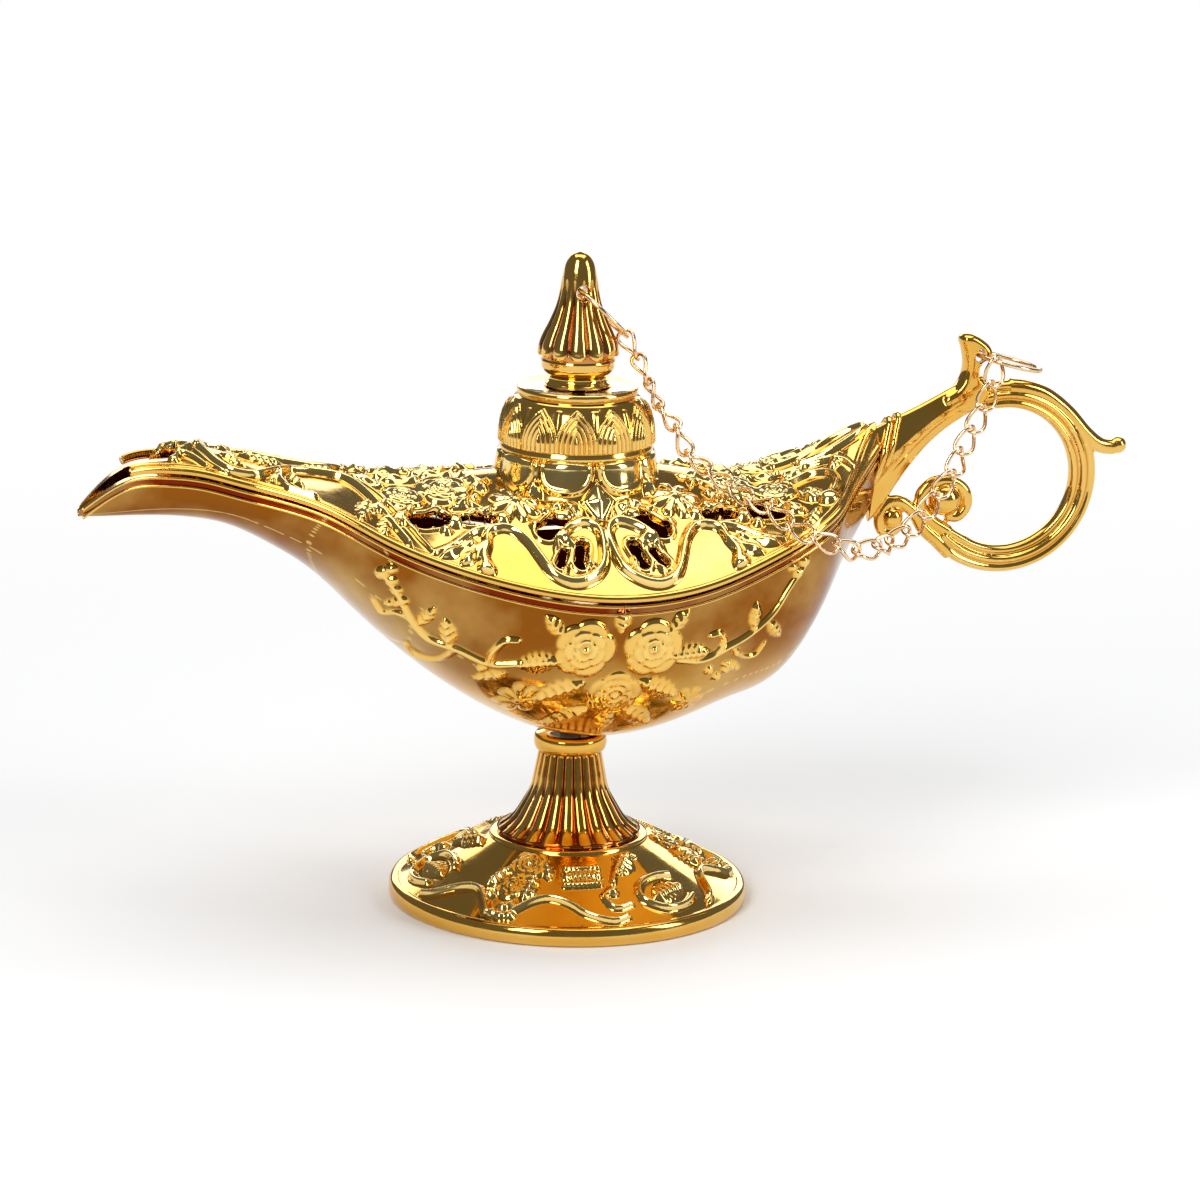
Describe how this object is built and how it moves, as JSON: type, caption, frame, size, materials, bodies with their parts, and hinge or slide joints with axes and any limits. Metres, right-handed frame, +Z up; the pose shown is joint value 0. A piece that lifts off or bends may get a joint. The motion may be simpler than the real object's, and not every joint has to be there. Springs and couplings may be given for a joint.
{
  "type": "genie oil lamp",
  "caption": "Gilt table oil lamp on a round foot: boat-shaped bowl with a long spout, openwork cover, lift-off lid, scrolled ring handle, and a chain tying lid to handle.",
  "frame": {"origin": "centre of the foot, on the table", "axes": "X along the lamp with the spout towards -X and the handle towards +X, Z up, Y across; the chain hangs on the -Y side"},
  "size_m": [0.2086, 0.07, 0.1271],
  "materials": {
    "gold_plate": "polished plated casting",
    "plain_brass": "turned, satin",
    "pale_gold_wire": "polished plated wire",
    "zinc_plated_steel": "dull zinc plate",
    "felt": "black felt"
  },
  "bodies": {
    "lamp_body": {"base_pad": "felt", "foot": "gold_plate", "fluted_stem": "gold_plate", "stem_collar": "gold_plate", "foot_bolt": "zinc_plated_steel", "foot_washer": "zinc_plated_steel", "bowl_washer": "zinc_plated_steel", "bolt_nut": "zinc_plated_steel", "oil_bowl": "gold_plate", "openwork_cover": "gold_plate", "handle": "gold_plate", "handle_screw": "zinc_plated_steel"},
    "lid": {"lid_shell": "gold_plate", "lid_plug": "plain_brass", "finial": "gold_plate", "finial_screw": "zinc_plated_steel"},
    "finial_ring": {"finial_ring": "pale_gold_wire"},
    "handle_jump_ring": {"handle_jump_ring": "pale_gold_wire"},
    "chain_link_01": {"chain_link_01": "pale_gold_wire"},
    "chain_link_02": {"chain_link_02": "pale_gold_wire"},
    "chain_link_03": {"chain_link_03": "pale_gold_wire"},
    "chain_link_04": {"chain_link_04": "pale_gold_wire"},
    "chain_link_05": {"chain_link_05": "pale_gold_wire"},
    "chain_link_06": {"chain_link_06": "pale_gold_wire"},
    "chain_link_07": {"chain_link_07": "pale_gold_wire"},
    "chain_link_08": {"chain_link_08": "pale_gold_wire"},
    "chain_link_09": {"chain_link_09": "pale_gold_wire"},
    "chain_link_10": {"chain_link_10": "pale_gold_wire"},
    "chain_link_11": {"chain_link_11": "pale_gold_wire"},
    "chain_link_12": {"chain_link_12": "pale_gold_wire"},
    "chain_link_13": {"chain_link_13": "pale_gold_wire"},
    "chain_link_14": {"chain_link_14": "pale_gold_wire"},
    "chain_link_15": {"chain_link_15": "pale_gold_wire"},
    "chain_link_16": {"chain_link_16": "pale_gold_wire"},
    "chain_link_17": {"chain_link_17": "pale_gold_wire"},
    "chain_link_18": {"chain_link_18": "pale_gold_wire"},
    "chain_link_19": {"chain_link_19": "pale_gold_wire"},
    "chain_link_20": {"chain_link_20": "pale_gold_wire"},
    "chain_link_21": {"chain_link_21": "pale_gold_wire"},
    "chain_link_22": {"chain_link_22": "pale_gold_wire"},
    "chain_link_23": {"chain_link_23": "pale_gold_wire"},
    "chain_link_24": {"chain_link_24": "pale_gold_wire"}
  },
  "joints": [
    {"name": "lid_lift", "type": "slide", "parent": "lamp_body", "child": "lid", "axis": [0, 0, 1], "range_m": [0, 0.014]},
    {"name": "finial_ring_swing", "type": "hinge", "parent": "lid", "child": "finial_ring", "pos_m": [0, 0, 0.11959], "axis": [0, 1, 0], "range_deg": [-60, 5]},
    {"name": "handle_ring_swing", "type": "hinge", "parent": "lamp_body", "child": "handle_jump_ring", "pos_m": [0.08098, 0, 0.10498], "axis": [0, 1, 0], "range_deg": [-60, 10]},
    {"name": "link_24_turn", "type": "hinge", "parent": "handle_jump_ring", "child": "chain_link_24", "pos_m": [0.08294, -0.00528, 0.1051], "axis": [0, 1, 0], "range_deg": [-25, 25]},
    {"name": "link_23_turn", "type": "hinge", "parent": "chain_link_24", "child": "chain_link_23", "pos_m": [0.08146, -0.00698, 0.10044], "axis": [0, 1, 0], "range_deg": [-25, 25]},
    {"name": "link_22_turn", "type": "hinge", "parent": "chain_link_23", "child": "chain_link_22", "pos_m": [0.07916, -0.00887, 0.0962], "axis": [0, 1, 0], "range_deg": [-25, 25]},
    {"name": "link_21_turn", "type": "hinge", "parent": "chain_link_22", "child": "chain_link_21", "pos_m": [0.07635, -0.01085, 0.09232], "axis": [0, 1, 0], "range_deg": [-25, 25]},
    {"name": "link_20_turn", "type": "hinge", "parent": "chain_link_21", "child": "chain_link_20", "pos_m": [0.07342, -0.01293, 0.08858], "axis": [0, 1, 0], "range_deg": [-25, 25]},
    {"name": "link_17_turn", "type": "hinge", "parent": "lamp_body", "child": "chain_link_17", "pos_m": [0.07954, 0, 0.09719], "axis": [0, 1, 0], "range_deg": [-25, 25]},
    {"name": "link_18_turn", "type": "hinge", "parent": "chain_link_17", "child": "chain_link_18", "pos_m": [0.06413, -0.01891, 0.07766], "axis": [0, 1, 0], "range_deg": [-25, 25]},
    {"name": "link_19_turn", "type": "hinge", "parent": "chain_link_18", "child": "chain_link_19", "pos_m": [0.06744, -0.017, 0.08116], "axis": [0, 1, 0], "range_deg": [-25, 25]},
    {"name": "link_16_turn", "type": "hinge", "parent": "chain_link_17", "child": "chain_link_16", "pos_m": [0.06034, -0.02109, 0.0749], "axis": [0, 1, 0], "range_deg": [-25, 25]},
    {"name": "link_15_turn", "type": "hinge", "parent": "chain_link_16", "child": "chain_link_15", "pos_m": [0.05611, -0.02375, 0.07358], "axis": [0, 1, 0], "range_deg": [-25, 25]},
    {"name": "link_12_turn", "type": "hinge", "parent": "lamp_body", "child": "chain_link_12", "pos_m": [0.07566, 0, 0.0942], "axis": [0, 1, 0], "range_deg": [-25, 25]},
    {"name": "link_13_turn", "type": "hinge", "parent": "chain_link_12", "child": "chain_link_13", "pos_m": [0.04284, -0.03091, 0.07512], "axis": [0, 1, 0], "range_deg": [-25, 25]},
    {"name": "link_14_turn", "type": "hinge", "parent": "chain_link_13", "child": "chain_link_14", "pos_m": [0.04741, -0.0293, 0.07337], "axis": [0, 1, 0], "range_deg": [-25, 25]},
    {"name": "link_11_turn", "type": "hinge", "parent": "chain_link_12", "child": "chain_link_11", "pos_m": [0.03815, -0.03012, 0.07697], "axis": [0, 1, 0], "range_deg": [-25, 25]},
    {"name": "link_10_turn", "type": "hinge", "parent": "chain_link_11", "child": "chain_link_10", "pos_m": [0.03468, -0.02674, 0.07876], "axis": [0, 1, 0], "range_deg": [-25, 25]},
    {"name": "link_07_turn", "type": "hinge", "parent": "lamp_body", "child": "chain_link_07", "pos_m": [0.07945, 0, 0.0946], "axis": [0, 1, 0], "range_deg": [-25, 25]},
    {"name": "link_08_turn", "type": "hinge", "parent": "chain_link_07", "child": "chain_link_08", "pos_m": [0.02607, -0.015, 0.08412], "axis": [0, 1, 0], "range_deg": [-25, 25]},
    {"name": "link_09_turn", "type": "hinge", "parent": "chain_link_08", "child": "chain_link_09", "pos_m": [0.02909, -0.01869, 0.08209], "axis": [0, 1, 0], "range_deg": [-25, 25]},
    {"name": "link_06_turn", "type": "hinge", "parent": "chain_link_07", "child": "chain_link_06", "pos_m": [0.02274, -0.01181, 0.08649], "axis": [0, 1, 0], "range_deg": [-25, 25]},
    {"name": "link_05_turn", "type": "hinge", "parent": "chain_link_06", "child": "chain_link_05", "pos_m": [0.01949, -0.00909, 0.08946], "axis": [0, 1, 0], "range_deg": [-25, 25]},
    {"name": "link_01_turn", "type": "hinge", "parent": "finial_ring", "child": "chain_link_01", "pos_m": [0.0088, 0, 0.11109], "axis": [0, 1, 0], "range_deg": [-25, 25]},
    {"name": "link_02_turn", "type": "hinge", "parent": "chain_link_01", "child": "chain_link_02", "pos_m": [0.01121, -0.00152, 0.10676], "axis": [0, 1, 0], "range_deg": [-25, 25]},
    {"name": "link_03_turn", "type": "hinge", "parent": "chain_link_02", "child": "chain_link_03", "pos_m": [0.01316, -0.00309, 0.10222], "axis": [0, 1, 0], "range_deg": [-25, 25]},
    {"name": "link_04_turn", "type": "hinge", "parent": "chain_link_03", "child": "chain_link_04", "pos_m": [0.01493, -0.0048, 0.09765], "axis": [0, 1, 0], "range_deg": [-25, 25]}
  ],
  "couplings": [
    {"joint": "finial_ring_swing", "follows": "lid_lift", "rad_per_m": 0.0762},
    {"joint": "handle_ring_swing", "follows": "lid_lift", "rad_per_m": -7.48},
    {"joint": "link_24_turn", "follows": "lid_lift", "rad_per_m": 7.3879},
    {"joint": "link_23_turn", "follows": "lid_lift", "rad_per_m": 10.209},
    {"joint": "link_22_turn", "follows": "lid_lift", "rad_per_m": 3.1254},
    {"joint": "link_21_turn", "follows": "lid_lift", "rad_per_m": 0.26728},
    {"joint": "link_20_turn", "follows": "lid_lift", "rad_per_m": 0.26384},
    {"joint": "link_17_turn", "follows": "lid_lift", "rad_per_m": 15.639},
    {"joint": "link_18_turn", "follows": "lid_lift", "rad_per_m": -1.0348},
    {"joint": "link_19_turn", "follows": "lid_lift", "rad_per_m": -0.57468},
    {"joint": "link_16_turn", "follows": "lid_lift", "rad_per_m": 1.1485},
    {"joint": "link_15_turn", "follows": "lid_lift", "rad_per_m": 0.55453},
    {"joint": "link_12_turn", "follows": "lid_lift", "rad_per_m": 18.319},
    {"joint": "link_13_turn", "follows": "lid_lift", "rad_per_m": 0.05158},
    {"joint": "link_14_turn", "follows": "lid_lift", "rad_per_m": -0.61947},
    {"joint": "link_11_turn", "follows": "lid_lift", "rad_per_m": -0.05157},
    {"joint": "link_10_turn", "follows": "lid_lift", "rad_per_m": -0.09133},
    {"joint": "link_07_turn", "follows": "lid_lift", "rad_per_m": 17.001},
    {"joint": "link_08_turn", "follows": "lid_lift", "rad_per_m": 0.93978},
    {"joint": "link_09_turn", "follows": "lid_lift", "rad_per_m": 0.11103},
    {"joint": "link_06_turn", "follows": "lid_lift", "rad_per_m": -7.1285},
    {"joint": "link_05_turn", "follows": "lid_lift", "rad_per_m": -5.2492},
    {"joint": "link_01_turn", "follows": "lid_lift", "rad_per_m": -2.6155},
    {"joint": "link_02_turn", "follows": "lid_lift", "rad_per_m": 0.0297},
    {"joint": "link_03_turn", "follows": "lid_lift", "rad_per_m": 0.84769},
    {"joint": "link_04_turn", "follows": "lid_lift", "rad_per_m": 2.1168}
  ]
}
